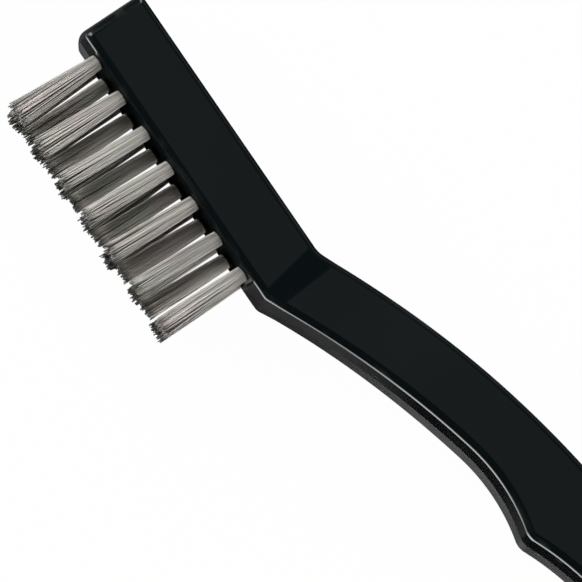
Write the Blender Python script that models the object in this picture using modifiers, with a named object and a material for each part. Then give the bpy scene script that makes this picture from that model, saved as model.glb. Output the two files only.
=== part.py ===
"""Instrument cleaning brush: a cranked moulded handle that holds three rows of wire tufts.

The brush lies on its flat side. +X runs from the head to the tail, the tufts point to -Y, and
+Z is up, across the width. The origin is on the resting side, in the middle of the grip at the
top of its arch. Everything is designed from the nose of the head, with X = 0 at the tip of the
nose and Y = 0 on the face that the tufts stand on, and an empty then moves it to the origin.
"""

import math
import random

import bmesh
import bpy
from mathutils import Matrix, Vector

MM = 0.001

# Tufts and their holes
outer_row_tufts = 7
middle_row_tufts = 6
tuft_pitch = 5.45 * MM
row_pitch = 3.175 * MM
tuft_trim = 12.7 * MM
tuft_root_diameter = 2.1 * MM
tuft_tip_diameter = 3.5 * MM
trim_raggedness = 0.55 * MM
root_recess = 0.4 * MM
hole_clearance = 0.25 * MM
hole_floor = 2.4 * MM
fold_height = 0.55 * MM
fold_end_share = 0.68
ring_spread_share = 0.8
strand_tip_share = 0.6
strand_stray_share = 0.16
end_tuft_lean = math.radians(3)
tuft_lean = math.radians(1)
grid_cells = 5
tuft_seed = 7

# Anchors: short flat wires pressed across the fold of each tuft
anchor_thickness = 0.45 * MM
anchor_height = 1.6 * MM
anchor_bite = 0.5 * MM
anchor_chamfer = 0.3 * MM
anchor_clearance = 0.15 * MM
fold_thickness = 0.8 * MM

# Head
handle_width = 12.7 * MM
head_thickness = 9.0 * MM
nose_bulge = 0.75 * MM
front_wall = 2.375 * MM
rear_wall = 3.175 * MM

# Neck and grip
neck_angle = math.radians(27)
arch_radius = 140 * MM
grip_thickness = 8.65 * MM
neck_relief_depth = 0.8 * MM
neck_step_length = 4.4 * MM
neck_relief_length = 30 * MM
neck_relief_setback = 0.35 * MM
neck_relief_runout = 0.1 * MM

# Finger stop under the grip
stop_reach = 45.7 * MM
stop_height = 2.8 * MM
stop_front_radius = 27 * MM
stop_rear_radius = 39 * MM

# Tail with its hanging hole
tail_angle = math.radians(14)
tail_length = 45.4 * MM
hang_hole_diameter = 6.4 * MM
hang_hole_wall = 2.6 * MM
tail_flare_radius = 60 * MM

# Moulding
draft_angle = math.radians(1)
edge_radius = 0.45 * MM
edge_segments = 2
sharp_edge_angle = math.radians(50)

# Fineness of the facets, and how far cutters run past what they cut
facet_sag = 0.02 * MM
hole_sides = 16
hang_hole_sides = 32
overrun = 1.0 * MM

# Worked out from the above
tuft_root_radius = tuft_root_diameter / 2
hole_radius = tuft_root_radius + hole_clearance
hole_depth = head_thickness - hole_floor
first_hole_x = nose_bulge + front_wall + hole_radius
head_length = first_hole_x + (outer_row_tufts - 1) * tuft_pitch + hole_radius + rear_wall
mid_width = handle_width / 2
anchor_depth = hole_depth - hole_clearance - fold_thickness - anchor_clearance - anchor_height / 2
anchor_length = 2 * (hole_radius + anchor_bite)
arch_inner_radius = arch_radius - grip_thickness
arch_centre = Vector((head_length, 0)) + arch_inner_radius * Vector(
    (math.sin(neck_angle), -math.cos(neck_angle))
)
back_corner_lean = -math.acos((head_thickness - arch_centre.y) / arch_radius)
grip_middle = arch_centre + Vector((0, arch_radius - grip_thickness / 2))
eye_radius = hang_hole_diameter / 2 + hang_hole_wall
tail_direction = Vector((math.cos(tail_angle), -math.sin(tail_angle)))
tail_normal = Vector((math.sin(tail_angle), math.cos(tail_angle)))
tail_start = arch_centre + (arch_radius - grip_thickness / 2) * tail_normal
eye_centre = tail_start + tail_length * tail_direction
back_y = arch_centre.y + arch_radius
under_y = min(0, eye_centre.y - eye_radius)
quarter_turn = math.pi / 2
half_turn = math.pi


def clear_scene():
    for item in list(bpy.data.objects):
        bpy.data.objects.remove(item, do_unlink=True)


def new_collection(name):
    collection = bpy.data.collections.new(name)
    bpy.context.scene.collection.children.link(collection)
    return collection


def material(name, colour, roughness, metallic):
    made = bpy.data.materials.new(name)
    made.use_nodes = True
    shader = made.node_tree.nodes["Principled BSDF"]
    shader.inputs["Base Color"].default_value = (*colour, 1)
    shader.inputs["Roughness"].default_value = roughness
    shader.inputs["Metallic"].default_value = metallic
    made.diffuse_color = (*colour, 1)
    return made


def place(bm, name, collection, parent, location=(0, 0, 0), rotation=(0, 0, 0), finish=None):
    """Turns a bmesh into an object in the collection, carried by the parent."""
    bmesh.ops.recalc_face_normals(bm, faces=bm.faces[:])
    mesh = bpy.data.meshes.new(name)
    bm.to_mesh(mesh)
    bm.free()
    mesh.shade_smooth()
    mesh.set_sharp_from_angle(angle=sharp_edge_angle)
    if finish:
        mesh.materials.append(finish)
    item = bpy.data.objects.new(name, mesh)
    item.location = location
    item.rotation_euler = rotation
    item.parent = parent
    collection.objects.link(item)
    return item


def place_cutter(bm, name, collection, parent, location=(0, 0, 0), rotation=(0, 0, 0)):
    cutter = place(bm, name, collection, parent, location, rotation)
    cutter.hide_render = True
    cutter.display_type = "WIRE"
    return cutter


def cut(item, operation, cutter):
    step = item.modifiers.new(cutter.name, "BOOLEAN")
    step.operation = operation
    step.solver = "EXACT"
    step.object = cutter


def only(kind, made, key="geom"):
    return [part for part in made[key] if isinstance(part, kind)]


def prism(outline, height):
    """A flat outline in X and Y, raised along Z."""
    bm = bmesh.new()
    face = bm.faces.new([bm.verts.new((x, y, 0)) for x, y in outline])
    raised = bmesh.ops.extrude_face_region(bm, geom=[face])
    bmesh.ops.translate(bm, vec=(0, 0, height), verts=only(bmesh.types.BMVert, raised))
    return bm


def toward(lean):
    """The direction that leans by an angle from +Y towards +X."""
    return Vector((math.sin(lean), math.cos(lean)))


def lean_of(direction):
    return math.atan2(direction.x, direction.y)


def arc(centre, radius, start, end):
    """Points of an arc between two leans, as many as the facet sag asks for."""
    step = 2 * math.acos(1 - facet_sag / radius)
    count = max(1, math.ceil(abs(end - start) / step))
    return [centre + radius * toward(start + (end - start) * n / count) for n in range(count + 1)]


def stop_flank(tip, flank_radius, side):
    """The centre of an arc that leaves the grip's inner arc smoothly and runs to the tip."""
    reach = (tip - arch_centre).length
    inset = arch_inner_radius - flank_radius
    spread = math.acos((reach**2 + inset**2 - flank_radius**2) / (2 * reach * inset))
    lean = lean_of(tip - arch_centre) + side * spread
    return lean, arch_centre + inset * toward(lean)


def grip_underside():
    """From the bend behind the head, round the finger stop, to the start of the tail."""
    tip_lean = stop_reach / arch_inner_radius - neck_angle
    tip = arch_centre + (arch_inner_radius - stop_height) * toward(tip_lean)
    front_lean, front_centre = stop_flank(tip, stop_front_radius, -1)
    rear_lean, rear_centre = stop_flank(tip, stop_rear_radius, 1)
    points = arc(arch_centre, arch_inner_radius, -neck_angle, front_lean)
    points += arc(front_centre, stop_front_radius, front_lean, lean_of(tip - front_centre))[1:]
    points += arc(rear_centre, stop_rear_radius, lean_of(tip - rear_centre), rear_lean)[1:]
    points += arc(arch_centre, arch_inner_radius, rear_lean, tail_angle)[1:]
    return points


def tail_end():
    """From the tail's underside, round the eye of the hanging hole, to the tail's back."""
    rise = grip_thickness / 2 + tail_flare_radius
    run = math.sqrt((eye_radius + tail_flare_radius) ** 2 - rise**2)
    turn = math.atan2(run, rise)
    under_centre = eye_centre - run * tail_direction - rise * tail_normal
    back_centre = eye_centre - run * tail_direction + rise * tail_normal
    past = tail_angle + half_turn
    points = arc(under_centre, tail_flare_radius, tail_angle, tail_angle + turn)
    points += arc(eye_centre, eye_radius, past + turn, tail_angle - turn)[1:]
    points += arc(back_centre, tail_flare_radius, past - turn, past)[1:]
    return points


def handle_outline():
    """The side view, from the nose along the underside to the tail and back along the top."""
    outline = [Vector((-overrun, 0))]
    outline += grip_underside()
    outline += tail_end()
    outline += arc(arch_centre, arch_radius, tail_angle, back_corner_lean)
    outline.append(Vector((-overrun, head_thickness)))
    return outline


def crowned_prism(outline):
    """The side view raised to the full width, and fullest at the parting line half way up."""
    bm = prism(outline, handle_width)
    bmesh.ops.recalc_face_normals(bm, faces=bm.faces[:])
    everything = bm.verts[:] + bm.edges[:] + bm.faces[:]
    split = bmesh.ops.bisect_plane(
        bm, geom=everything, plane_co=(0, 0, mid_width), plane_no=(0, 0, 1)
    )
    parting_line = only(bmesh.types.BMVert, split, "geom_cut")
    bm.normal_update()
    crown = mid_width * math.tan(draft_angle)
    pushes = [(vert, vert.normal * vert.calc_shell_factor() * crown) for vert in parting_line]
    for vert, push in pushes:
        vert.co += push
    return bm


def nose_block(cutters, frame):
    """The plan view: straight sides and a nose that bulges in a shallow arc."""
    nose_radius = (mid_width**2 + nose_bulge**2) / (2 * nose_bulge)
    sweep = math.asin((mid_width + overrun) / nose_radius)
    centre = Vector((nose_radius, mid_width))
    far_x = eye_centre.x + eye_radius + overrun
    outline = arc(centre, nose_radius, sweep - quarter_turn, -sweep - quarter_turn)
    outline.append(Vector((far_x, -overrun)))
    outline.append(Vector((far_x, handle_width + overrun)))
    top = back_y + overrun
    block = prism(outline, top - under_y + overrun)
    turned = (quarter_turn, 0, 0)
    return place_cutter(block, "nose_block", cutters, frame, (0, top, 0), turned)


def relief_outline():
    """The neck's hollow in one side face: a short step down and a long S back up."""
    half_run = (neck_relief_length - neck_step_length) / 2
    half_rise = (neck_relief_depth + neck_relief_runout) / 2
    radius = (half_run**2 + half_rise**2) / (2 * half_rise)
    sweep = math.asin(half_run / radius)
    low_centre = Vector((neck_step_length, neck_relief_depth - radius))
    high_centre = Vector((neck_relief_length, radius - neck_relief_runout))
    step_slope = neck_relief_depth / neck_step_length
    outline = [Vector((-overrun, -overrun * step_slope))]
    outline += arc(low_centre, radius, 0, sweep)
    outline += arc(high_centre, radius, half_turn + sweep, half_turn)[1:]
    outline.append(Vector((neck_relief_length, -overrun)))
    outline.append(Vector((-overrun, -overrun)))
    return outline


def neck_reliefs(cutters, frame):
    """Two cutters that narrow the neck from both sides, along the line of the bend."""
    back_corner = arch_centre + arch_radius * toward(back_corner_lean)
    bend_lean = lean_of(back_corner - Vector((head_length, 0)))
    reach = back_y - under_y
    along_neck = toward(bend_lean + quarter_turn)
    start = back_corner + neck_relief_setback * along_neck + reach * toward(bend_lean)
    turned = (quarter_turn, 0, -bend_lean)
    reliefs = []
    for name, base, side in (("lower", 0, 1), ("upper", handle_width, -1)):
        outline = [Vector((point.x, side * point.y)) for point in relief_outline()]
        relief = prism(outline, 2 * reach)
        place_at = (start.x, start.y, base)
        reliefs.append(
            place_cutter(relief, f"{name}_neck_relief", cutters, frame, place_at, turned)
        )
    return reliefs


def hang_hole(cutters, frame):
    bm = bmesh.new()
    bmesh.ops.create_cone(
        bm,
        cap_ends=True,
        segments=hang_hole_sides,
        radius1=hang_hole_diameter / 2,
        radius2=hang_hole_diameter / 2,
        depth=handle_width + 2 * overrun,
    )
    return place_cutter(bm, "hang_hole", cutters, frame, (eye_centre.x, eye_centre.y, mid_width))


def tuft_places():
    """A name, and the X and Z of its hole, for each tuft of the three rows."""
    rows = (
        ("upper", outer_row_tufts, 0, row_pitch),
        ("middle", middle_row_tufts, tuft_pitch / 2, 0),
        ("lower", outer_row_tufts, 0, -row_pitch),
    )
    places = []
    for row, count, shift, height in rows:
        for number in range(count):
            x = first_hole_x + shift + number * tuft_pitch
            places.append((f"{row}_row_{number + 1}", x, mid_width + height))
    return places


def tuft_bores(cutters, frame):
    """The blind holes, drilled from the tuft face, as one cutter."""
    bm = bmesh.new()
    for _, x, z in tuft_places():
        middle = Vector((x, (hole_depth - overrun) / 2, z))
        bmesh.ops.create_cone(
            bm,
            cap_ends=True,
            segments=hole_sides,
            radius1=hole_radius,
            radius2=hole_radius,
            depth=hole_depth + overrun,
            matrix=Matrix.Translation(middle) @ Matrix.Rotation(quarter_turn, 4, "X"),
        )
    return place_cutter(bm, "tuft_bores", cutters, frame)


def box(bm, middle, size):
    stretch = Matrix.Diagonal(size).to_4x4()
    bmesh.ops.create_cube(bm, size=1, matrix=Matrix.Translation(middle) @ stretch)


def anchor_slots(cutters, frame):
    """The slots that the anchors' ends press into the walls of the holes, as one cutter."""
    bm = bmesh.new()
    play = 2 * anchor_clearance
    size = Vector((anchor_length + play, anchor_height + play, anchor_thickness + play))
    for _, x, z in tuft_places():
        box(bm, Vector((x, anchor_depth, z)), size)
    return place_cutter(bm, "anchor_slots", cutters, frame)


def build_handle(parts, cutters, frame, finish):
    handle = place(crowned_prism(handle_outline()), "handle", parts, frame, finish=finish)
    cut(handle, "INTERSECT", nose_block(cutters, frame))
    for relief in neck_reliefs(cutters, frame):
        cut(handle, "DIFFERENCE", relief)
    cut(handle, "DIFFERENCE", hang_hole(cutters, frame))
    rounding = handle.modifiers.new("rounded_edges", "BEVEL")
    rounding.width = edge_radius
    rounding.segments = edge_segments
    rounding.limit_method = "ANGLE"
    rounding.angle_limit = sharp_edge_angle
    rounding.use_clamp_overlap = False
    cut(handle, "DIFFERENCE", tuft_bores(cutters, frame))
    cut(handle, "DIFFERENCE", anchor_slots(cutters, frame))
    shading = handle.modifiers.new("face_weighted_normals", "WEIGHTED_NORMAL")
    shading.keep_sharp = True


def disc_of_cells():
    """A square grid without its corner cells, drawn into a disc, with a cell for each strand."""
    bm = bmesh.new()
    reach = tuft_root_radius
    bmesh.ops.create_grid(bm, x_segments=grid_cells, y_segments=grid_cells, size=reach)
    inner = reach * (1 - 2 / grid_cells)
    corners = []
    for face in bm.faces:
        middle = face.calc_center_median()
        if min(abs(middle.x), abs(middle.y)) > inner:
            corners.append(face)
    bmesh.ops.delete(bm, geom=corners, context="FACES")
    for vert in bm.verts:
        x, y = vert.co.x, vert.co.y
        ring = max(abs(x), abs(y))
        on_rim = vert.is_boundary
        turn = quarter_turn / 2 * min(abs(x), abs(y)) / ring
        lean = turn if abs(x) < abs(y) else quarter_turn - turn
        radius = reach if on_rim else reach * (ring / reach) ** ring_spread_share
        vert.co.x = math.copysign(radius * math.sin(lean), x)
        vert.co.y = math.copysign(radius * math.cos(lean), y)
        vert.co.z = -root_recess
    return bm


def build_fold(parts, cutters):
    """The folded root of a tuft, with the opening that its anchor passes through."""
    bm = disc_of_cells()
    bottom = hole_clearance - hole_depth
    shoulder = bottom + fold_height
    cells = bm.faces[:]
    middle = bmesh.ops.extrude_face_region(bm, geom=cells)
    cells = only(bmesh.types.BMFace, middle)
    for vert in only(bmesh.types.BMVert, middle):
        vert.co.z = shoulder
    end = bmesh.ops.extrude_face_region(bm, geom=cells)
    bmesh.ops.delete(bm, geom=cells, context="FACES")
    for vert in only(bmesh.types.BMVert, end):
        vert.co = Vector((vert.co.x * fold_end_share, vert.co.y * fold_end_share, bottom))
    bmesh.ops.dissolve_faces(bm, faces=only(bmesh.types.BMFace, end))
    fold = place(bm, "tuft_fold", parts, None)
    play = 2 * anchor_clearance
    size = Vector((2 * tuft_root_diameter, anchor_thickness + play, anchor_height + play))
    window = bmesh.new()
    box(window, Vector((0, 0, -anchor_depth)), size)
    opening = place_cutter(window, "anchor_window", cutters, None)
    cut(fold, "DIFFERENCE", opening)
    made = bpy.data.meshes.new_from_object(
        fold.evaluated_get(bpy.context.evaluated_depsgraph_get())
    )
    bpy.data.objects.remove(fold)
    bpy.data.objects.remove(opening)
    return made


def tuft_mesh(fold, lean, chance):
    """A folded root with its strands, which spread and fray towards their cut ends."""
    bm = bmesh.new()
    bm.from_mesh(fold)
    top = max(vert.co.z for vert in bm.verts)
    level = facet_sag / 2
    cells = [face for face in bm.faces if min(vert.co.z for vert in face.verts) > top - level]
    flare = tuft_tip_diameter / tuft_root_diameter
    stray = strand_stray_share * tuft_tip_diameter / grid_cells
    for face in bmesh.ops.extrude_discrete_faces(bm, faces=cells)["faces"]:
        root = face.calc_center_median()
        length = tuft_trim + chance.uniform(-trim_raggedness, trim_raggedness)
        tip = Vector((
            root.x * flare + chance.uniform(-stray, stray) + length * math.tan(lean.x),
            root.y * flare + chance.uniform(-stray, stray) + length * math.tan(lean.y),
            length,
        ))
        for vert in face.verts:
            vert.co = tip + (vert.co - root) * flare * strand_tip_share
    return bm


def build_tufts(parts, cutters, frame, finish):
    fold = build_fold(parts, cutters)
    chance = random.Random(tuft_seed)
    turned = (quarter_turn, 0, 0)
    for name, x, z in tuft_places():
        lean = Vector([chance.uniform(-tuft_lean, tuft_lean) for _ in "xy"])
        if x == first_hole_x:
            lean.x = -end_tuft_lean
        tuft = tuft_mesh(fold, lean, chance)
        place(tuft, f"tuft_{name}", parts, frame, (x, 0, z), turned, finish)
    bpy.data.meshes.remove(fold)


def anchor_prism():
    """A flat wire seen from the side, with the corners of its leading edge cut off."""
    half_length = anchor_length / 2
    half_height = anchor_height / 2
    outline = [
        Vector((-half_length, -half_height)),
        Vector((half_length, -half_height)),
        Vector((half_length, half_height - anchor_chamfer)),
        Vector((half_length - anchor_chamfer, half_height)),
        Vector((anchor_chamfer - half_length, half_height)),
        Vector((-half_length, half_height - anchor_chamfer)),
    ]
    return prism(outline, anchor_thickness)


def build_anchors(parts, frame, finish):
    for name, x, z in tuft_places():
        middle = (x, anchor_depth, z - anchor_thickness / 2)
        place(anchor_prism(), f"anchor_{name}", parts, frame, middle, finish=finish)


def main():
    clear_scene()
    parts = new_collection("instrument_cleaning_brush")
    cutters = new_collection("cutters")
    frame = bpy.data.objects.new("brush_origin", None)
    frame.location = (-grip_middle.x, -grip_middle.y, 0)
    parts.objects.link(frame)
    black_plastic = material("black_plastic", (0.011, 0.012, 0.013), 0.4, 0)
    bristle_steel = material("bristle_steel", (0.52, 0.49, 0.46), 0.35, 1)
    anchor_steel = material("anchor_steel", (0.6, 0.6, 0.6), 0.3, 1)
    build_handle(parts, cutters, frame, black_plastic)
    build_tufts(parts, cutters, frame, bristle_steel)
    build_anchors(parts, frame, anchor_steel)


main()
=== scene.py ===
"""Instrument cleaning brush, dressed: a black moulding with tufts of stainless wire.

Every size is in metres. The side view of the handle is worked out from the tip of its nose, on
the face that the tufts stand on, and then moved to the frame's origin.
"""

import math
import random

import bmesh
import bpy
from mathutils import Matrix, Vector


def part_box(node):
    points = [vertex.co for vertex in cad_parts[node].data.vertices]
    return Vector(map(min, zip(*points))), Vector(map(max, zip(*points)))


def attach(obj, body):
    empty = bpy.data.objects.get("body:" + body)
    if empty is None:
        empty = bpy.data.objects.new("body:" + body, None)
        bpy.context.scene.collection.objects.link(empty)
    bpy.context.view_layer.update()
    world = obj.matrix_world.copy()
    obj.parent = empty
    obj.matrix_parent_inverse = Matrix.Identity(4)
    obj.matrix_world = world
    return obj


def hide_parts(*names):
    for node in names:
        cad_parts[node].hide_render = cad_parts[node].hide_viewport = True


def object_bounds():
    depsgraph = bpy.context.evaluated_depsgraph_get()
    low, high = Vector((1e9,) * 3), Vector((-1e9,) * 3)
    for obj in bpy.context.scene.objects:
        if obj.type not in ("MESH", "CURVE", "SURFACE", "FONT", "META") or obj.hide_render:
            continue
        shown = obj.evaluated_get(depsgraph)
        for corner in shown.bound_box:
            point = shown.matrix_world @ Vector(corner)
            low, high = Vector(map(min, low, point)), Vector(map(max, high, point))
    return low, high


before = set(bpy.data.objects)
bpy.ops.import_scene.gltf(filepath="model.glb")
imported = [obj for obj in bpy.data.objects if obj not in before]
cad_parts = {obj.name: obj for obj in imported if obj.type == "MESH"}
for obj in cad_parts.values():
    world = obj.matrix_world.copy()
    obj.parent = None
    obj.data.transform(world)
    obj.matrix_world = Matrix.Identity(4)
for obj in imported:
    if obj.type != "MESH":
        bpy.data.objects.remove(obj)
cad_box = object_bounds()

MM = 0.001
quarter_turn = math.pi / 2
half_turn = math.pi
whole_turn = 2 * math.pi

# Handle, side view
outer_row_tufts = 7
middle_row_tufts = 6
tuft_pitch = 5.45 * MM
hole_radius = 1.15 * MM
hole_depth = 6.6 * MM
front_wall = 3.275 * MM
rear_wall = 3.325 * MM
head_thickness = 9.0 * MM
neck_angle = math.radians(27)
bend_radius = 1.8 * MM
arch_radius = 140 * MM
grip_thickness = 8.65 * MM
stop_reach = 45.7 * MM
stop_height = 2.8 * MM
stop_front_radius = 27 * MM
stop_rear_radius = 39 * MM
tail_angle = math.radians(14)
tail_length = 45.4 * MM
hang_hole_radius = 3.2 * MM
eye_radius = 5.8 * MM
tail_flare_radius = 60 * MM

# Handle, across its width
nose_bulge = 0.75 * MM
crown = 0.09 * MM
crown_mitre_limit = 0.5
side_facing = 0.9
shoulder_width = 1.0 * MM
shoulder_fall = 0.18 * MM
neck_depth = 0.8 * MM
neck_lead = 1.5 * MM
neck_step = 4.4 * MM
neck_length = 30 * MM
edge_radius = 0.85 * MM
rounded_from_angle = math.radians(20)
creased_from_angle = math.radians(32)

# Fineness of arcs, walls and holes, and how far cutters run past what they cut
arc_sag = 0.003 * MM
weld_distance = 0.02 * MM
wall_levels = 9
lead_stations = 3
step_stations = 9
rise_stations = 12
edge_segments = 7
hole_sides = 40
hang_hole_sides = 96
overrun = 1.0 * MM

# Anchors and their slots
anchor_depth = 4.6 * MM
anchor_height = 1.6 * MM
anchor_thickness = 0.45 * MM
slot_clearance = 0.15 * MM

# Wires
wire_radius = 0.08 * MM
wire_pitch = 0.168 * MM
pitch_jitter = 0.012 * MM
wire_sides = 6
wire_crease_angle = math.radians(70)
bundle_radius = 1.05 * MM
tuft_trim = 12.6 * MM
tuft_trim_shift = 0.25 * MM
trim_raggedness = 0.65 * MM
wire_wander = 0.085 * MM
clump_count = 7
clump_pull = 0.22 * MM
clump_place_shares = (0.4, 0.85)
leg_shares = (1, 0.82, 0.64, 0.46, 0.28, 0.12, 0)
leg_squeeze_share = 0.95
fold_drop_share = 0.72
fold_turns = (quarter_turn / 2, quarter_turn, quarter_turn * 1.5)
sideways_lean = math.radians(0.8)
wire_seed = 11

# Each tuft's lean towards the tail in degrees, and the share by which its tips stand wider
row_leans = {
    "upper": (0, -1.7, -2.3, -2.8, -2.3, -2.8, 0.1),
    "middle": (0.5, -0.8, -1.8, -1.4, -2.6, -2.0),
    "lower": (0.4, -1.5, -1.2, 0.3, -1.6, -1.6, -0.5),
}
row_spreads = {
    "upper": (0.85, 0.66, 0.36, 0.34, 0.44, 0.28, 0.44),
    "middle": (0.34, 0.4, 0.34, 0.44, 0.52, 0.46),
    "lower": (0.5, 0.45, 0.5, 0.55, 0.45, 0.35, 0.45),
}

# Plastic: colours, roughness, and where they change
deep_black = (0.0009, 0.0031, 0.0040)
faded_black = (0.0015, 0.0041, 0.0050)
rubbed_grey = (0.03, 0.033, 0.034)
lower_half_roughness = 0.27
upper_half_roughness = 0.11
parting_fade = 0.3 * MM
moulding_grain = 0.00015 * MM
soil_roughness = 0.55
clean_specular = 0.5
soil_specular = 0.06
soil_margin = 0.3 * MM
soil_fade = 0.5 * MM
soil_rise = 0.3 * MM

# Wire and anchors: colours, and where they change
pink_steel = (0.79, 0.685, 0.69)
green_steel = (0.735, 0.74, 0.66)
dull_steel = (0.49, 0.475, 0.445)
# Colour of the painted shade at the wires' cut ends
end_shade_steel = (0.09, 0.085, 0.08)
# Colour of the painted black shadow at the wires' roots
root_shadow_black = (0.012, 0.013, 0.012)
anchor_bright = (0.6, 0.59, 0.57)
anchor_dull = (0.42, 0.41, 0.39)
green_root_reach = 7 * MM
middle_row_edge = 1.3 * MM
outer_row_edge = 2.4 * MM
# Painted shade over the wires' cut ends, weaker on the rows above the middle
end_shade_reach = 0.1 * MM
end_shade_fade = 0.9 * MM
lit_end_rise = 3 * MM
# Painted black shadow of the head over the wires' roots, reaching further along the middle row
root_shadow_reach = 0.6 * MM
root_shadow_fade = 0.14 * MM
root_shadow_slope = -0.12
drawing_depth = 0.002 * MM
anchor_line_depth = 0.003 * MM

# Camera: turned round Z from +Y, tilted back from straight down, spun round its own axis
camera_turn = math.radians(19.95)
camera_tilt = math.radians(10.15)
camera_spin = math.radians(35.91)
camera_distance = 1288.5 * MM
camera_lens = 628.64
sensor_width = 36

# Floor, and the cards on it that reflections see: a painted shadow under the tufts, painted shade
# beside the neck
floor_reach = 30
floor_drop = 0.01 * MM
card_drop = 0.005 * MM
card_margin = 1.0 * MM
# Painted black shadow of the tufts on the table, seen only in reflections
tuft_shadow_shade = 0.005
tuft_shadow_fade = 0.1 * MM
# Painted grey shade beside the neck, seen only in reflections
neck_shade_gap = Vector((1.2 * MM, -5 * MM))
neck_shade_size = Vector((26 * MM, 20 * MM))
neck_shade_level = 0.24
neck_shade_fade = 14 * MM

# Panels round the head: azimuth, elevation, size and share of a plain level of light
panel_distance = 0.9
panels = {
    "nose_front_panel": (203, 29, (0.8, 0.6), 0.48),
    "nose_back_panel": (143, 32, (0.4, 0.8), 0.25),
    "tail_side_panel": (10, 25, (1.0, 0.5), 0.3),
    "back_strip": (90, 22, (1.2, 0.12), 0.013),
}
overhead_size = (0.8, 0.32)
overhead_offset = (-0.25, 0.165, 0.9)
overhead_brightness = 0.16

# Worked out from the above
width_low = cad_box[0].z
width_high = cad_box[1].z
mid_width = (width_low + width_high) / 2
half_width = (width_high - width_low) / 2
head_length = front_wall + 2 * hole_radius + (outer_row_tufts - 1) * tuft_pitch + rear_wall
arch_inner_radius = arch_radius - grip_thickness
arch_centre = Vector((head_length, 0)) + arch_inner_radius * Vector(
    (math.sin(neck_angle), -math.cos(neck_angle))
)
back_corner_lean = -math.acos((head_thickness - arch_centre.y) / arch_radius)
grip_middle = arch_centre + Vector((0, arch_radius - grip_thickness / 2))
tail_direction = Vector((math.cos(tail_angle), -math.sin(tail_angle)))
tail_normal = Vector((math.sin(tail_angle), math.cos(tail_angle)))
tail_start = arch_centre + (arch_radius - grip_thickness / 2) * tail_normal
eye_centre = tail_start + tail_length * tail_direction
to_frame = Matrix.Translation((-grip_middle.x, -grip_middle.y, 0))
face_y = -grip_middle.y
view_aim = Vector((-58.63 * MM, -15.48 * MM, width_high))


def toward(lean):
    """The direction that leans by an angle from +Y towards +X."""
    return Vector((math.sin(lean), math.cos(lean)))


def lean_of(direction):
    """The angle of a direction from +Y towards +X."""
    return math.atan2(direction.x, direction.y)


def arc(centre, radius, start, end):
    """Points of an arc between two leans, as many as its sag asks for."""
    step = 2 * math.acos(1 - arc_sag / radius)
    count = max(1, math.ceil(abs(end - start) / step))
    return [centre + radius * toward(start + (end - start) * n / count) for n in range(count + 1)]


def stop_flank(tip, flank_radius, side):
    """The centre of an arc that leaves the grip's inner arc smoothly and runs to the tip."""
    reach = (tip - arch_centre).length
    inset = arch_inner_radius - flank_radius
    swing = math.acos((reach**2 + inset**2 - flank_radius**2) / (2 * reach * inset))
    lean = lean_of(tip - arch_centre) + side * swing
    return lean, arch_centre + inset * toward(lean)


def grip_underside():
    """From the bend, round the finger stop, to the start of the tail."""
    tip_lean = stop_reach / arch_inner_radius - neck_angle
    tip = arch_centre + (arch_inner_radius - stop_height) * toward(tip_lean)
    front_lean, front_centre = stop_flank(tip, stop_front_radius, -1)
    rear_lean, rear_centre = stop_flank(tip, stop_rear_radius, 1)
    points = arc(arch_centre, arch_inner_radius, -neck_angle, front_lean)
    points += arc(front_centre, stop_front_radius, front_lean, lean_of(tip - front_centre))[1:]
    points += arc(rear_centre, stop_rear_radius, lean_of(tip - rear_centre), rear_lean)[1:]
    points += arc(arch_centre, arch_inner_radius, rear_lean, tail_angle)[1:]
    return points


def tail_end():
    """The tail's flared sides and the round end about the hanging hole."""
    rise = grip_thickness / 2 + tail_flare_radius
    run = math.sqrt((eye_radius + tail_flare_radius) ** 2 - rise**2)
    turn = math.atan2(run, rise)
    under_centre = eye_centre - run * tail_direction - rise * tail_normal
    back_centre = eye_centre - run * tail_direction + rise * tail_normal
    past = tail_angle + half_turn
    points = arc(under_centre, tail_flare_radius, tail_angle, tail_angle + turn)
    points += arc(eye_centre, eye_radius, past + turn, tail_angle - turn)[1:]
    points += arc(back_centre, tail_flare_radius, past - turn, past)[1:]
    return points


def handle_outline():
    """The side view, from the nose along the underside to the tail and back along the top."""
    bend_centre = Vector((head_length - bend_radius * math.tan(neck_angle / 2), bend_radius))
    outline = [Vector((0, 0))]
    outline += arc(bend_centre, bend_radius, half_turn, half_turn - neck_angle)
    outline += grip_underside()[1:]
    outline += tail_end()
    outline += arc(arch_centre, arch_radius, tail_angle, back_corner_lean)
    outline.append(Vector((0, head_thickness)))
    return outline


def whole(bm):
    return bm.verts[:] + bm.edges[:] + bm.faces[:]


def crowned_walls(bm):
    """Splits the walls at several heights and pushes them out towards the parting line."""
    for n in range(wall_levels):
        height = width_low + (n + 1) * 2 * half_width / (wall_levels + 1)
        bmesh.ops.bisect_plane(bm, geom=whole(bm), plane_co=(0, 0, height), plane_no=(0, 0, 1))
    bm.normal_update()
    pushes = []
    for vert in bm.verts:
        off_middle = abs(vert.co.z - mid_width)
        flat = Vector((vert.normal.x, vert.normal.y, 0)).normalized()
        corner = max((face.normal for face in vert.link_faces), key=lambda n: n.xy.length).xy
        stretch = 1 / max(flat.xy.dot(corner.normalized()), crown_mitre_limit)
        push = flat * crown * (1 - off_middle / half_width) * stretch
        if vert.co.x < front_wall / 2:
            push.x = 0
        pushes.append((vert, push))
    for vert, push in pushes:
        vert.co += push


def bulged_nose(bm):
    """The plan view of the nose: a shallow arc across the width."""
    nose_radius = (half_width**2 + nose_bulge**2) / (2 * nose_bulge)
    for vert in bm.verts:
        if vert.co.x < front_wall / 2:
            rise = vert.co.z - mid_width
            vert.co.x += nose_radius - math.sqrt(nose_radius**2 - rise**2)


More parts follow.
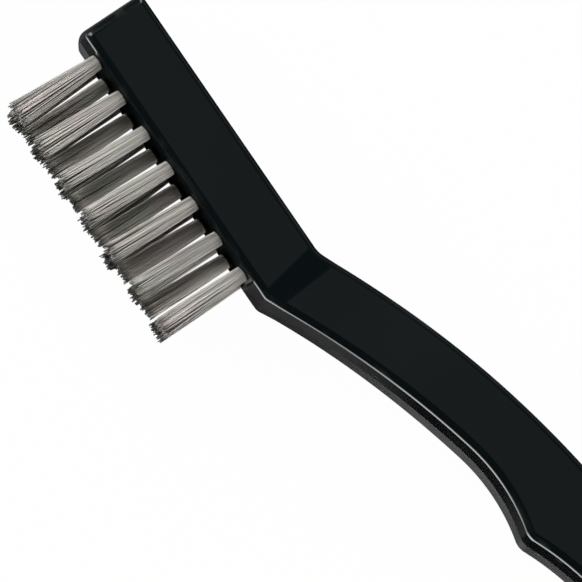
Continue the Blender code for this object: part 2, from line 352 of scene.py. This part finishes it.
def shoulders(bm):
    """Lets the two side faces fall off softly towards the tuft face and the underside."""
    for side in (-1, 1):
        bm.normal_update()
        faces = [face for face in bm.faces if face.normal.z * side > side_facing]
        for vert in {vert for face in faces for vert in face.verts}:
            outward = vert.normal.xy.normalized()
            vert.co.z -= side * shoulder_fall * max(0, min(1, -2 * outward.y))
        bmesh.ops.inset_region(bm, faces=faces, thickness=shoulder_width, use_even_offset=True)
        for vert in {vert for face in faces for vert in face.verts}:
            vert.co.z = mid_width + side * half_width


def neck_fall(reach):
    """How deep the neck's hollow is at a distance from its start: a short step, a long S back."""
    if reach <= 0 or reach >= neck_length:
        return 0
    if reach < neck_step:
        share = reach / neck_step
    else:
        share = (neck_length - reach) / (neck_length - neck_step)
    return neck_depth * share * share * (3 - 2 * share)


def neck_line():
    """Where the neck's hollow starts, on the back, and the way it runs, square to the bend."""
    back_corner = arch_centre + arch_radius * toward(back_corner_lean)
    bend_lean = lean_of(back_corner - Vector((head_length, 0)))
    along = toward(bend_lean + quarter_turn)
    return back_corner - along * neck_lead, along


def neck_stations(bm):
    """Cuts right across the neck, for its hollow to follow."""
    start, along = neck_line()
    rise = neck_length - neck_step
    reaches = [neck_lead * n / lead_stations for n in range(step_stations)]
    reaches += [neck_step + rise * n / rise_stations for n in range(rise_stations + 1)]
    for reach in reaches:
        station = start + along * reach
        bmesh.ops.bisect_plane(
            bm, geom=whole(bm), plane_co=(*station, 0), plane_no=(*along, 0), dist=weld_distance
        )


def narrowed_neck(bm):
    """Draws the side faces in behind the bend, along a line that leans with the bend."""
    start, along = neck_line()
    for vert in bm.verts:
        fall = neck_fall((vert.co.xy - start).dot(along))
        vert.co.z = mid_width + (vert.co.z - mid_width) * (1 - fall / half_width)


def new_object(name, bm, material=None):
    """Turns a bmesh, already in its place, into an object at the origin."""
    mesh = bpy.data.meshes.new(name)
    bm.to_mesh(mesh)
    bm.free()
    item = bpy.data.objects.new(name, mesh)
    bpy.context.scene.collection.objects.link(item)
    if material:
        mesh.materials.append(material)
    return item


def evaluated_mesh(item):
    """The item's mesh with its modifiers applied."""
    seen = item.evaluated_get(bpy.context.evaluated_depsgraph_get())
    return bpy.data.meshes.new_from_object(seen)


def hang_hole_cutter():
    """A rod across the tail's eye."""
    bm = bmesh.new()
    place = Matrix.Translation((eye_centre.x, eye_centre.y, mid_width))
    bmesh.ops.create_cone(
        bm, cap_ends=True, segments=hang_hole_sides, radius1=hang_hole_radius,
        radius2=hang_hole_radius, depth=2 * (half_width + overrun), matrix=to_frame @ place,
    )
    return new_object("hang_hole_cutter", bm)


def tuft_names():
    """The name of each tuft, as its anchor has it."""
    rows = (("upper", outer_row_tufts), ("middle", middle_row_tufts), ("lower", outer_row_tufts))
    return [f"{row}_row_{number + 1}" for row, count in rows for number in range(count)]


def hole_axis(name):
    """Where the middle of a tuft's hole is on the tuft face, from the box of its anchor."""
    low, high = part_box(f"anchor_{name}")
    return Vector(((low.x + high.x) / 2, face_y, (low.z + high.z) / 2))


def hole_cutter():
    """A rod for each tuft's blind hole."""
    bm = bmesh.new()
    for name in tuft_names():
        place = Matrix.Translation(hole_axis(name) + Vector((0, (hole_depth - overrun) / 2, 0)))
        bmesh.ops.create_cone(
            bm, cap_ends=True, segments=hole_sides, radius1=hole_radius, radius2=hole_radius,
            depth=hole_depth + overrun, matrix=place @ Matrix.Rotation(quarter_turn, 4, "X"),
        )
    return new_object("hole_cutter", bm)


def slot_cutter():
    """A block round each anchor, for the slot that it is pressed into."""
    bm = bmesh.new()
    for name in tuft_names():
        low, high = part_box(f"anchor_{name}")
        play = 2 * slot_clearance
        size = high - low + Vector((play, play, play))
        place = Matrix.Translation((low + high) / 2)
        bmesh.ops.create_cube(bm, size=1, matrix=place @ Matrix.Diagonal(size).to_4x4())
    return new_object("slot_cutter", bm)


def cut(item, cutter):
    step = item.modifiers.new(cutter.name, "BOOLEAN")
    step.operation = "DIFFERENCE"
    step.solver = "EXACT"
    step.object = cutter


def handle_blank():
    """The handle before its edges are rounded and its holes are cut."""
    bm = bmesh.new()
    face = bm.faces.new([bm.verts.new((x, y, width_low)) for x, y in handle_outline()])
    raised = bmesh.ops.extrude_face_region(bm, geom=[face])["geom"]
    top = [part for part in raised if isinstance(part, bmesh.types.BMVert)]
    bmesh.ops.translate(bm, vec=(0, 0, 2 * half_width), verts=top)
    bmesh.ops.recalc_face_normals(bm, faces=bm.faces[:])
    crowned_walls(bm)
    bulged_nose(bm)
    neck_stations(bm)
    shoulders(bm)
    narrowed_neck(bm)
    bmesh.ops.recalc_face_normals(bm, faces=bm.faces[:])
    bmesh.ops.transform(bm, matrix=to_frame, verts=bm.verts[:])
    return new_object("handle_blank", bm)


def round_edges(item):
    rounding = item.modifiers.new("rounded_edges", "BEVEL")
    rounding.width = edge_radius
    rounding.segments = edge_segments
    rounding.limit_method = "ANGLE"
    rounding.angle_limit = rounded_from_angle
    rounding.use_clamp_overlap = False


def build_handle(material):
    """Rounded after its hanging hole is cut, and before the holes of the tufts are."""
    blank = handle_blank()
    hang_hole, holes, slots = hang_hole_cutter(), hole_cutter(), slot_cutter()
    cut(blank, hang_hole)
    round_edges(blank)
    cut(blank, holes)
    cut(blank, slots)
    mesh = evaluated_mesh(blank)
    for spent in (blank, hang_hole, holes, slots):
        bpy.data.objects.remove(spent)
    mesh.name = "handle_moulding"
    mesh.shade_smooth()
    mesh.set_sharp_from_angle(angle=creased_from_angle)
    mesh.materials.clear()
    mesh.materials.append(material)
    handle = bpy.data.objects.new("handle_moulding", mesh)
    bpy.context.scene.collection.objects.link(handle)
    weighted = handle.modifiers.new("face_weighted_normals", "WEIGHTED_NORMAL")
    weighted.keep_sharp = True
    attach(handle, "root")
    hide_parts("handle")


def bundle_places(chance):
    """Where the legs of one side of a tuft's bundle stand, packed like oranges in half a disc."""
    row_step = wire_pitch * math.sqrt(3) / 2
    reach = bundle_radius - wire_radius
    places = []
    row = 0
    while (row + 0.5) * row_step < reach:
        z = (row + 0.5) * row_step
        side = math.sqrt(reach**2 - z**2)
        count = int(2 * side / wire_pitch)
        for n in range(count + 1):
            shift = chance.uniform(-pitch_jitter, pitch_jitter)
            places.append(Vector(((n - count / 2) * wire_pitch + shift, z + shift / 2)))
        row += 1
    return places


def leg_points(place, lean, tip_spread, trim, clumps, chance):
    """The path of one leg in its tuft, from its cut tip to beside the anchor, Y into the hole."""
    length = trim + chance.triangular(-trim_raggedness, trim_raggedness, 0)
    pull = min(clumps, key=lambda clump: (clump - place).length) - place
    drift = Vector((chance.gauss(0, 1), chance.gauss(0, 1))) * wire_wander
    bow = Vector((chance.gauss(0, 1), chance.gauss(0, 1))) * wire_wander / 2
    points = []
    for share in leg_shares:
        run = length * share
        at = place * (1 + tip_spread * share)
        at += pull.normalized() * min(pull.length, clump_pull) * share**2
        at += drift * share**2 + bow * math.sin(half_turn * share)
        points.append(
            Vector((at.x + run * math.tan(lean.x), -run, at.y + run * math.tan(lean.y)))
        )
    side = math.copysign(1, place.y)
    beside = anchor_thickness / 2 + slot_clearance + wire_radius
    room = hole_radius - 2 * wire_radius - beside
    squeezed = beside + (abs(place.y) / bundle_radius) * room
    slot_top = anchor_depth - anchor_height / 2 - slot_clearance
    anchor_bottom = anchor_depth + anchor_height / 2
    for depth in (slot_top, anchor_bottom):
        points.append(Vector((place.x * leg_squeeze_share, depth, side * squeezed)))
    return points


def fold_points(end):
    """The bend under the anchor that joins two legs, in three points."""
    drop = (abs(end.z) - anchor_thickness / 2) * fold_drop_share
    return [
        Vector((end.x, end.y + drop * math.sin(turn), end.z * math.cos(turn)))
        for turn in fold_turns
    ]


def ring_frame(direction):
    """Two directions across a wire, turned as little as can be from the frame's X."""
    over = direction.cross(Vector((1, 0, 0))).normalized()
    return over.cross(direction).normalized(), over


def wire_paths(name, chance):
    """The path of each wire of a tuft: down one leg, round the anchor and up the other."""
    row, number = name.split("_row_")
    sideways = chance.uniform(-sideways_lean, sideways_lean)
    lean = Vector((math.radians(row_leans[row][int(number) - 1]), sideways))
    tip_spread = row_spreads[row][int(number) - 1]
    trim = tuft_trim - chance.uniform(0, tuft_trim_shift)
    clumps = []
    for n in range(clump_count):
        turn = whole_turn * (n + chance.random()) / clump_count
        clumps.append(toward(turn) * bundle_radius * chance.uniform(*clump_place_shares))
    paths = []
    for place in bundle_places(chance):
        near = leg_points(place, lean, tip_spread, trim, clumps, chance)
        far = leg_points(Vector((place.x, -place.y)), lean, tip_spread, trim, clumps, chance)
        paths.append(near + fold_points(near[-1]) + far[::-1])
    return paths


def wire_starts(bm, paths, shade, chance):
    """A round cut end for each path, with a shade of its own."""
    faces = []
    for _ in paths:
        made = bmesh.ops.create_circle(bm, cap_ends=True, segments=wire_sides, radius=wire_radius)
        face = made["verts"][0].link_faces[0]
        face[shade] = chance.random()
        faces.append(face)
    return faces


def longer_wires(bm, faces, shade):
    """Extrudes each wire's end one step further, with its walls in the wire's own shade."""
    faces = bmesh.ops.extrude_discrete_faces(bm, faces=faces)["faces"]
    for face in faces:
        for edge in face.edges:
            for wall in edge.link_faces:
                wall[shade] = face[shade]
    return faces


def swept_wires(paths, chance):
    """A round wire along each path, all of them one step further at a time."""
    bm = bmesh.new()
    shade = bm.faces.layers.float.new("wire_shade")
    faces = wire_starts(bm, paths, shade, chance)
    turns = [whole_turn * n / wire_sides for n in range(wire_sides)]
    spokes = [(math.cos(turn), math.sin(turn)) for turn in turns]
    for step in range(len(paths[0])):
        if step:
            faces = longer_wires(bm, faces, shade)
        for face, path in zip(faces, paths):
            before = path[max(step - 1, 0)]
            after = path[min(step + 1, len(path) - 1)]
            across, over = ring_frame((after - before).normalized())
            for vert, (run, rise) in zip(face.verts, spokes):
                vert.co = path[step] + wire_radius * (across * run + over * rise)
    open_ends = [edge for edge in bm.edges if edge.is_boundary]
    bmesh.ops.holes_fill(bm, edges=open_ends, sides=wire_sides)
    bmesh.ops.recalc_face_normals(bm, faces=bm.faces[:])
    return bm


def build_tuft(name, material, chance):
    """A tuft of wires folded round its anchor, each one unbroken from tip to tip."""
    bm = swept_wires(wire_paths(name, chance), chance)
    bmesh.ops.translate(bm, vec=hole_axis(name), verts=bm.verts[:])
    tuft = new_object(f"wires_{name}", bm, material)
    tuft.data.shade_smooth()
    tuft.data.set_sharp_from_angle(angle=wire_crease_angle)
    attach(tuft, "root")
    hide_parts(f"tuft_{name}")


def new_material(name):
    material = bpy.data.materials.new(name)
    material.use_nodes = True
    return material, material.node_tree


def coordinates(tree, kind="Object"):
    """The X, Y and Z of a place, or of the way that a surface faces."""
    where = tree.nodes.new("ShaderNodeTexCoord")
    parts = tree.nodes.new("ShaderNodeSeparateXYZ")
    tree.links.new(where.outputs[kind], parts.inputs[0])
    return parts.outputs


def object_noise(tree, scale, detail=3.0, stretch=(1, 1, 1)):
    """A noise in the object's own metres, drawn out along an axis by a small stretch."""
    where = tree.nodes.new("ShaderNodeTexCoord")
    mapping = tree.nodes.new("ShaderNodeMapping")
    mapping.inputs["Scale"].default_value = stretch
    noise = tree.nodes.new("ShaderNodeTexNoise")
    noise.inputs["Scale"].default_value = scale
    noise.inputs["Detail"].default_value = detail
    tree.links.new(where.outputs["Object"], mapping.inputs["Vector"])
    tree.links.new(mapping.outputs["Vector"], noise.inputs["Vector"])
    return noise.outputs["Fac"]


def spread(tree, value, low, high, to_low, to_high):
    """Maps a value from one range to another, and no further."""
    change = tree.nodes.new("ShaderNodeMapRange")
    for socket, setting in (
        ("From Min", low), ("From Max", high), ("To Min", to_low), ("To Max", to_high)
    ):
        change.inputs[socket].default_value = setting
    tree.links.new(value, change.inputs["Value"])
    return change.outputs["Result"]


def reckon(tree, operation, *values):
    """Arithmetic on values, each a socket or a plain number."""
    step = tree.nodes.new("ShaderNodeMath")
    step.operation = operation
    for socket, value in zip(step.inputs, values):
        if isinstance(value, (int, float)):
            socket.default_value = value
        else:
            tree.links.new(value, socket)
    return step.outputs[0]


def blended(tree, share, first, second):
    """A colour between two, each a socket or plain red, green and blue."""
    mix = tree.nodes.new("ShaderNodeMix")
    mix.data_type = "RGBA"
    tree.links.new(share, mix.inputs["Factor"])
    for socket, colour in ((mix.inputs[6], first), (mix.inputs[7], second)):
        if isinstance(colour, tuple):
            socket.default_value = (*colour, 1)
        else:
            tree.links.new(colour, socket)
    return mix.outputs[2]


def roughened(tree, shader, height, distance):
    """Bumps a surface by a height, times a distance."""
    bump = tree.nodes.new("ShaderNodeBump")
    bump.inputs["Strength"].default_value = 1
    bump.inputs["Distance"].default_value = distance
    tree.links.new(height, bump.inputs["Height"])
    tree.links.new(bump.outputs["Normal"], shader.inputs["Normal"])


def edge_wear(tree, handling):
    """How far the plastic is rubbed: patchy on rounded edges, and not on side faces or walls."""
    upward = reckon(tree, "ABSOLUTE", coordinates(tree, "Normal")["Z"])
    off_side = spread(tree, upward, 0.75, 0.93, 1, 0)
    off_wall = spread(tree, upward, 0.25, 0.5, 0, 1)
    edge = reckon(tree, "MULTIPLY", off_side, off_wall)
    return reckon(tree, "MULTIPLY", edge, spread(tree, handling, 0.52, 0.7, 0, 1))


def tuft_face_soil(tree, place):
    """How soiled the plastic is: fully on the tuft face, from the first tuft to the last."""
    first = hole_axis("upper_row_1").x - soil_margin
    last = hole_axis(f"upper_row_{outer_row_tufts}").x + soil_margin
    on_face = spread(tree, place["Y"], face_y, face_y + soil_rise, 1, 0)
    past_first = spread(tree, place["X"], first - soil_fade, first, 0, 1)
    before_last = spread(tree, place["X"], last, last + soil_fade, 1, 0)
    among_tufts = reckon(tree, "MULTIPLY", past_first, before_last)
    return reckon(tree, "MULTIPLY", on_face, among_tufts)


def moulded_plastic():
    """Black, glossier above the parting line, rubbed at its edges and soiled among the tufts."""
    material, tree = new_material("satin_black_plastic")
    shader = tree.nodes["Principled BSDF"]
    place = coordinates(tree)
    handling = object_noise(tree, 160, 6, (1, 3, 1))
    scratches = object_noise(tree, 900, 2, (0.06, 1, 1))
    scratched = spread(tree, scratches, 0.7, 0.74, 0, 1)
    worn = edge_wear(tree, handling)
    soiled = tuft_face_soil(tree, place)

    clouds = spread(tree, object_noise(tree, 55), 0.35, 0.65, 0, 1)
    pigment = blended(tree, clouds, deep_black, faded_black)
    colour = blended(tree, reckon(tree, "MULTIPLY", worn, 0.5), pigment, rubbed_grey)
    tree.links.new(colour, shader.inputs["Base Color"])

    moulded = spread(
        tree, place["Z"], mid_width - parting_fade, mid_width + parting_fade,
        lower_half_roughness, upper_half_roughness,
    )
    smudges = reckon(tree, "MULTIPLY_ADD", handling, 0.06, -0.03)
    marks = reckon(tree, "MULTIPLY", reckon(tree, "MAXIMUM", worn, scratched), 0.12)
    satin = reckon(tree, "ADD", reckon(tree, "ADD", moulded, smudges), marks)
    matt = reckon(tree, "MULTIPLY", soiled, soil_roughness)
    tree.links.new(reckon(tree, "MAXIMUM", satin, matt), shader.inputs["Roughness"])
    specular = spread(tree, soiled, 0, 1, clean_specular, soil_specular)
    tree.links.new(specular, shader.inputs["Specular IOR Level"])

    grain = object_noise(tree, 5200, 2)
    relief = reckon(tree, "MULTIPLY_ADD", scratched, -0.5, grain)
    roughened(tree, shader, relief, moulding_grain)
    return material


def bare_wire(tree, place, off_middle, streaks):
    """No two shades alike: greener at the roots and in the middle row, with painted light that
    brightens the middle row, which the outer rows shade, and dims the outer rows.
    """
    own = tree.nodes.new("ShaderNodeAttribute")
    own.attribute_name = "wire_shade"
    patches = spread(tree, object_noise(tree, 180), 0.4, 0.6, 0, 1)
    roots = spread(tree, place["Y"], face_y - green_root_reach, face_y, 0, 0.8)
    middle_row = spread(tree, off_middle, middle_row_edge, outer_row_edge, 0.55, 0)
    least_green = reckon(tree, "MAXIMUM", roots, middle_row)
    greener = reckon(tree, "MAXIMUM", patches, least_green)
    tint = blended(tree, greener, pink_steel, green_steel)
    # Painted light: brightens the middle row, shaded by the outer rows, and dims the outer rows
    middle_row_lift = spread(tree, off_middle, middle_row_edge, outer_row_edge, 0.5, -0.3)
    shade = reckon(tree, "ADD", own.outputs["Fac"], streaks)
    brightness = spread(tree, reckon(tree, "ADD", shade, middle_row_lift), 0.4, 1.5, 0, 1)
    return blended(tree, brightness, dull_steel, tint)


def stainless_wire():
    """Drawn wire, with painted shade at its cut ends and a painted black shadow of the head where
    it enters its hole.
    """
    material, tree = new_material("stainless_wire")
    shader = tree.nodes["Principled BSDF"]
    shader.inputs["Metallic"].default_value = 1
    place = coordinates(tree)
    streaks = object_noise(tree, 700, 3, (1, 0.12, 1))
    above_middle = reckon(tree, "SUBTRACT", place["Z"], mid_width)
    off_middle = reckon(tree, "ABSOLUTE", above_middle)

    # Painted shade over the last millimetre of each wire at its cut end, weaker above the middle
    end_shade_from = face_y - tuft_trim + end_shade_reach
    ends = spread(tree, place["Y"], end_shade_from, end_shade_from + end_shade_fade, 0.9, 0)
    unlit = spread(tree, place["Z"], mid_width, mid_width + lit_end_rise, 1, 0.55)
    painted_end_shade = reckon(tree, "MULTIPLY", ends, unlit)
    wire = blended(tree, painted_end_shade, bare_wire(tree, place, off_middle, streaks), end_shade_steel)

    # Painted black shadow of the head over the roots, reaching further along the middle row than
    # the outer rows
    shadow_line_y = reckon(tree, "MULTIPLY_ADD", off_middle, root_shadow_slope, place["Y"])
    fully_from = face_y - root_shadow_reach
    root_shadowed = spread(tree, shadow_line_y, fully_from - root_shadow_fade, fully_from, 0, 1)
    tree.links.new(blended(tree, root_shadowed, wire, root_shadow_black), shader.inputs["Base Color"])

    tree.links.new(spread(tree, streaks, 0.3, 0.7, 0.42, 0.54), shader.inputs["Roughness"])
    roughened(tree, shader, object_noise(tree, 9000, 2, (1, 0.05, 1)), drawing_depth)
    return material


def anchor_steel():
    """Flat wire, chopped from a reel: bright, with dull patches and lines along its length."""
    material, tree = new_material("anchor_steel")
    shader = tree.nodes["Principled BSDF"]
    shader.inputs["Metallic"].default_value = 1
    lines = object_noise(tree, 4000, 3, (0.05, 1, 1))
    colour = blended(tree, object_noise(tree, 900), anchor_bright, anchor_dull)
    tree.links.new(colour, shader.inputs["Base Color"])
    tree.links.new(spread(tree, lines, 0.3, 0.7, 0.25, 0.45), shader.inputs["Roughness"])
    roughened(tree, shader, lines, anchor_line_depth)
    return material


def finish_anchors(material):
    for name in tuft_names():
        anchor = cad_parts[f"anchor_{name}"]
        anchor.data.materials.clear()
        anchor.data.materials.append(material)


def mixed(tree, share, first, second):
    """A shader between two."""
    mix = tree.nodes.new("ShaderNodeMixShader")
    for socket, value in zip(mix.inputs, (share, first, second)):
        tree.links.new(value, socket)
    return mix.outputs[0]


def floor_paint():
    """White to the camera, clear to reflections, and plain pale paint to everything else."""
    material, tree = new_material("white_floor")
    tree.nodes.clear()
    output = tree.nodes.new("ShaderNodeOutputMaterial")
    paint = tree.nodes.new("ShaderNodeBsdfDiffuse")
    paint.inputs["Color"].default_value = (0.8, 0.8, 0.8, 1)
    glow = tree.nodes.new("ShaderNodeEmission")
    clear = tree.nodes.new("ShaderNodeBsdfTransparent")
    rays = tree.nodes.new("ShaderNodeLightPath").outputs
    seen = reckon(tree, "MULTIPLY", rays["Is Camera Ray"], 0.98)
    mirrored = reckon(tree, "MAXIMUM", rays["Is Glossy Ray"], rays["Is Transmission Ray"])
    white = mixed(tree, seen, paint.outputs[0], glow.outputs[0])
    tree.links.new(mixed(tree, mirrored, white, clear.outputs[0]), output.inputs["Surface"])
    return material


def build_floor():
    bm = bmesh.new()
    bmesh.ops.create_grid(bm, x_segments=1, y_segments=1, size=floor_reach)
    bmesh.ops.translate(bm, vec=(0, 0, -floor_drop), verts=bm.verts[:])
    floor = new_object("floor", bm, floor_paint())


def build_card(name, low, high, shade, fade):
    """A card on the floor that only reflections see, and that fades out at its far end."""
    bm = bmesh.new()
    bmesh.ops.create_grid(bm, x_segments=1, y_segments=1, size=0.5)
    place = Matrix.Translation((*((low + high) / 2), -card_drop))
    shape = Matrix.Diagonal((*(high - low), 1, 1))
    bmesh.ops.transform(bm, matrix=place @ shape, verts=bm.verts[:])
    material, tree = new_material(name)
    shader = tree.nodes["Principled BSDF"]
    shader.inputs["Base Color"].default_value = (shade, shade, shade, 1)
    shader.inputs["Roughness"].default_value = 1
    fading = spread(tree, coordinates(tree)["X"], high.x - fade, high.x, 1, 0)
    tree.links.new(fading, shader.inputs["Alpha"])
    card = new_object(name, bm, material)
    card.visible_camera = False
    card.visible_diffuse = False
    card.visible_transmission = False
    card.visible_shadow = False


def build_cards():
    """A painted black shadow under the tufts, and painted grey shade beside the neck, both seen
    only in reflections.
    """
    first = hole_axis("upper_row_1").xy
    last = hole_axis(f"upper_row_{outer_row_tufts}").xy
    reach = Vector((card_margin, tuft_trim + card_margin))
    far = last + Vector((card_margin, card_margin))
    # Painted shadow of the tufts on the table, for reflections
    build_card("tuft_shadow_card", first - reach, far, tuft_shadow_shade, tuft_shadow_fade)
    # Painted grey shade beside the neck, for the neck's reflections
    near = last + neck_shade_gap
    build_card("neck_shade_card", near, near + neck_shade_size, neck_shade_level, neck_shade_fade)


def hang_panel(name, size, energy, place):
    """A soft lamp that the camera doesn't see, and that faces down until it is turned."""
    data = bpy.data.lights.new(name, "AREA")
    data.shape = "RECTANGLE"
    data.size, data.size_y = size
    data.energy = energy
    lamp = bpy.data.objects.new(name, data)
    lamp.location = place
    lamp.visible_camera = False
    bpy.context.scene.collection.objects.link(lamp)
    return lamp


def build_panels():
    """Panels aimed at the head, and a dim one level above it."""
    for name, (azimuth, elevation, size, share) in panels.items():
        turn, rise = math.radians(azimuth), math.radians(elevation)
        flat = math.cos(rise)
        back = Vector((math.cos(turn) * flat, math.sin(turn) * flat, math.sin(rise)))
        energy = share * (math.pi * panel_distance) ** 2 / math.sin(rise)
        lamp = hang_panel(name, size, energy, view_aim + back * panel_distance)
        lamp.rotation_euler = back.to_track_quat("Z", "Y").to_euler()
    width, depth = overhead_size
    energy = overhead_brightness * math.pi * width * depth
    hang_panel("overhead_panel", overhead_size, energy, view_aim + Vector(overhead_offset))


def build_tent():
    """A dim tent, bright below the table in front, which reflections see through the floor."""
    world = bpy.data.worlds.new("light_tent")
    bpy.context.scene.world = world
    world.use_nodes = True
    tree = world.node_tree
    way = coordinates(tree, "Generated")
    behind = spread(tree, way["Y"], 0.1, 0.9, 0.05, 0.1)
    above = spread(tree, way["Z"], -0.05, 0.0, 0, 1)
    tent = reckon(tree, "MULTIPLY", behind, above)
    brightest = spread(tree, way["X"], -0.3, 0.0, 1.0, 3.8)
    ahead = spread(tree, way["Y"], -0.42, -0.3, 1, 0)
    low = spread(tree, way["Z"], -0.6, -0.3, 1, 0)
    front = reckon(tree, "MULTIPLY", reckon(tree, "MULTIPLY", ahead, brightest), low)
    nose_side = spread(tree, way["X"], -0.16, -0.05, 0.09, 0.008)
    upper = spread(tree, way["Z"], -0.4, 0.0, 0, 0.03)
    least = reckon(tree, "MAXIMUM", nose_side, upper)
    level = reckon(tree, "MAXIMUM", reckon(tree, "ADD", tent, front), least)
    tree.links.new(level, tree.nodes["Background"].inputs["Color"])


def build_camera():
    """Aimed at the middle of the photo's view, from nearly straight above the flat side."""
    data = bpy.data.cameras.new("camera")
    data.lens = camera_lens
    data.sensor_width = sensor_width
    camera = bpy.data.objects.new("camera", data)
    turned = Matrix.Rotation(camera_turn, 4, "Z") @ Matrix.Rotation(camera_tilt, 4, "X")
    away = Matrix.Translation((0, 0, camera_distance))
    spun = Matrix.Rotation(camera_spin, 4, "Z")
    camera.matrix_world = Matrix.Translation(view_aim) @ turned @ away @ spun
    bpy.context.scene.collection.objects.link(camera)
    bpy.context.scene.camera = camera


build_camera()
build_tent()
build_panels()
build_floor()
build_cards()
build_handle(moulded_plastic())
wire = stainless_wire()
chance = random.Random(wire_seed)
for name in tuft_names():
    build_tuft(name, wire, chance)
finish_anchors(anchor_steel())

bpy.context.scene.view_settings.view_transform = "Standard"
